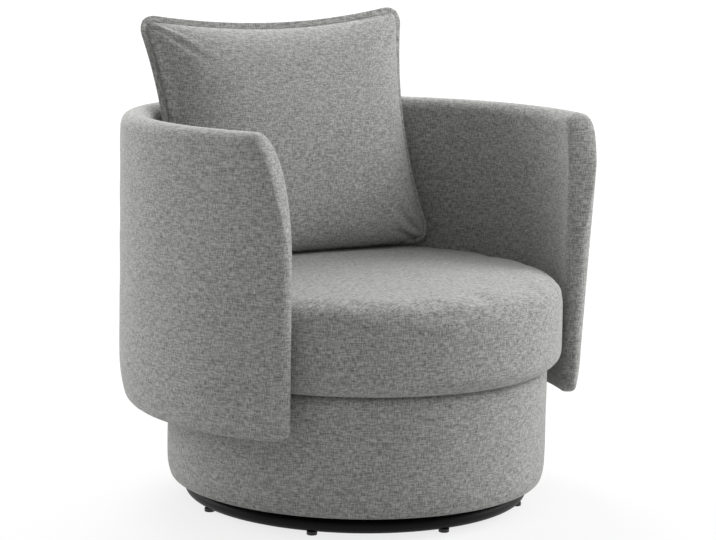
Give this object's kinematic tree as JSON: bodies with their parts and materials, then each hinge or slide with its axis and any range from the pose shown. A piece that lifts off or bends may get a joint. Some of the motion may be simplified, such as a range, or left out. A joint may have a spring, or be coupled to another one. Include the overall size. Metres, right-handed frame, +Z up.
{
  "type": "swivel lounge chair",
  "caption": "Upholstered barrel lounge chair: round seat and C-shaped back and arms on a drum that turns freely on a floor ring, with a loose zipped back pillow",
  "frame": {"origin": "on the floor, under the swivel axis, in the plane of the glides' soles", "axes": "+Z is up along the swivel axis, -Y is the way the sitter faces, +X is to the right of a viewer in front of the chair"},
  "size_m": [0.8398, 0.783, 0.8426],
  "materials": {
    "grey_linen": "matte",
    "foam": "matte",
    "filling": "matte",
    "webbing": "matte",
    "black_felt": "matte",
    "zip_tape": "matte",
    "plywood": "matte",
    "black_steel": "satin",
    "zinc_steel": "satin",
    "ball_steel": "polished",
    "black_plastic": "satin"
  },
  "bodies": {
    "base": {"floor_glides": "black_plastic", "floor_ring": "black_steel", "floor_ring_spokes": "black_steel", "hub_plate": "black_steel", "lower_race": "zinc_steel", "lower_race_screws": "zinc_steel", "pivot_bolt": "zinc_steel", "pivot_washer": "zinc_steel", "pivot_nut": "zinc_steel"},
    "bearing": {"ball_cage": "black_plastic", "bearing_balls": "ball_steel"},
    "chair": {"upper_race": "zinc_steel", "upper_race_screws": "zinc_steel", "pivot_bush": "black_plastic", "drum_bottom_board": "plywood", "drum_posts": "plywood", "drum_top_board": "plywood", "drum_post_screws": "zinc_steel", "drum_panel": "plywood", "drum_padding": "foam", "drum_cover": "grey_linen", "drum_dust_cover": "black_felt", "seat_frame_ring": "plywood", "seat_webbing_long": "webbing", "seat_webbing_cross": "webbing", "seat_foam": "foam", "seat_cover": "grey_linen", "seat_bolts": "zinc_steel", "seat_tee_nuts": "zinc_steel", "shell_bottom_rail": "plywood", "shell_mid_rail": "plywood", "shell_top_rail": "plywood", "shell_posts": "plywood", "shell_inner_skin": "plywood", "shell_outer_skin": "plywood", "shell_foam": "foam", "shell_cover": "grey_linen", "shell_spacer_blocks": "plywood", "shell_bolts": "zinc_steel", "shell_tee_nuts": "zinc_steel"},
    "pillow": {"pillow_insert": "filling", "pillow_cover": "grey_linen", "pillow_welt": "grey_linen", "pillow_zip": "zip_tape"},
    "slider": {"zip_slider": "zinc_steel"}
  },
  "joints": [
    {"name": "swivel", "type": "hinge", "parent": "base", "child": "chair", "pos_m": [0, 0, 0.04], "axis": [0, 0, 1], "continuous": true},
    {"name": "cage_turn", "type": "hinge", "parent": "base", "child": "bearing", "pos_m": [0, 0, 0.0333], "axis": [0, 0, 1], "continuous": true},
    {"name": "pillow_lift", "type": "slide", "parent": "chair", "child": "pillow", "axis": [0, 0, 1], "range_m": [0, 0.45]},
    {"name": "zip_pull", "type": "slide", "parent": "pillow", "child": "slider", "axis": [0.9954, -0.0958, 0], "range_m": [-0.36, 0]}
  ],
  "couplings": [
    {"joint": "cage_turn", "follows": "swivel", "ratio": 0.5}
  ]
}
